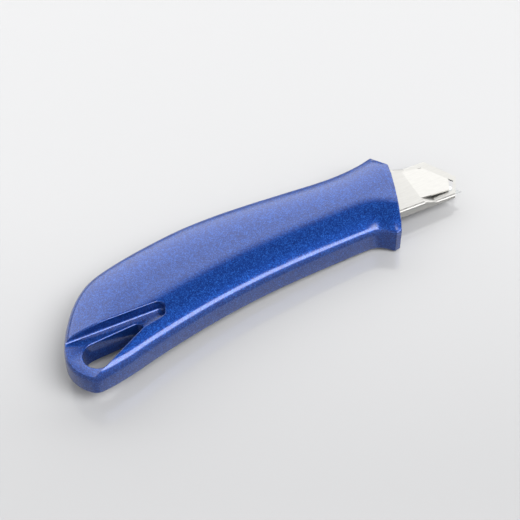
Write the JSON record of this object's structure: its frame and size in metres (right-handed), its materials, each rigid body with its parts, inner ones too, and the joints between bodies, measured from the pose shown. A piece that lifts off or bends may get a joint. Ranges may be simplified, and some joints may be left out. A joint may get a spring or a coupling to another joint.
{
  "type": "utility knife",
  "caption": "Snap-off utility knife with a domed cast handle, a lanyard slot in its tail, a folded steel blade channel with a spring tongue, and a self-locking thumb slider.",
  "frame": {"origin": "middle of the flat rest pad on the handle's underside, behind the collar, on the blade's centre line", "axes": "+X to the blade tip, +Y to the handle's spine, +Z to the domed back, away from the thumb slider"},
  "size_m": [0.1641, 0.0497, 0.0162],
  "materials": {
    "handle_paint": "metallic blue gloss with a fine flake",
    "channel_steel": "bright rolled stainless",
    "blade_steel": "ground tool steel",
    "carriage_steel": "pressed stainless",
    "spring_steel": "tempered",
    "fixing_steel": "zinc plated",
    "button_plastic": "fine matte"
  },
  "bodies": {
    "handle": {"back_shell": "handle_paint", "front_cover": "handle_paint", "cover_screw_1": "fixing_steel", "cover_screw_2": "fixing_steel", "cover_screw_3": "fixing_steel", "cover_screw_4": "fixing_steel", "blade_channel": "channel_steel", "channel_screw_1": "fixing_steel", "channel_screw_2": "fixing_steel"},
    "blade_slider": {"blade_carriage": "carriage_steel", "snap_blade": "blade_steel", "carriage_stud": "fixing_steel", "lock_spring": "spring_steel", "spring_rivet": "fixing_steel"},
    "thumb_button": {"slider_button": "button_plastic"}
  },
  "joints": [
    {"name": "blade_slide", "type": "slide", "parent": "handle", "child": "blade_slider", "axis": [1, 0, 0], "range_m": [-0.005, 0.0475], "deforming": ["lock_spring"]},
    {"name": "button_shift", "type": "slide", "parent": "blade_slider", "child": "thumb_button", "axis": [1, 0, 0], "range_m": [-0.001, 0.001], "stiffness_N_per_m": 400}
  ]
}
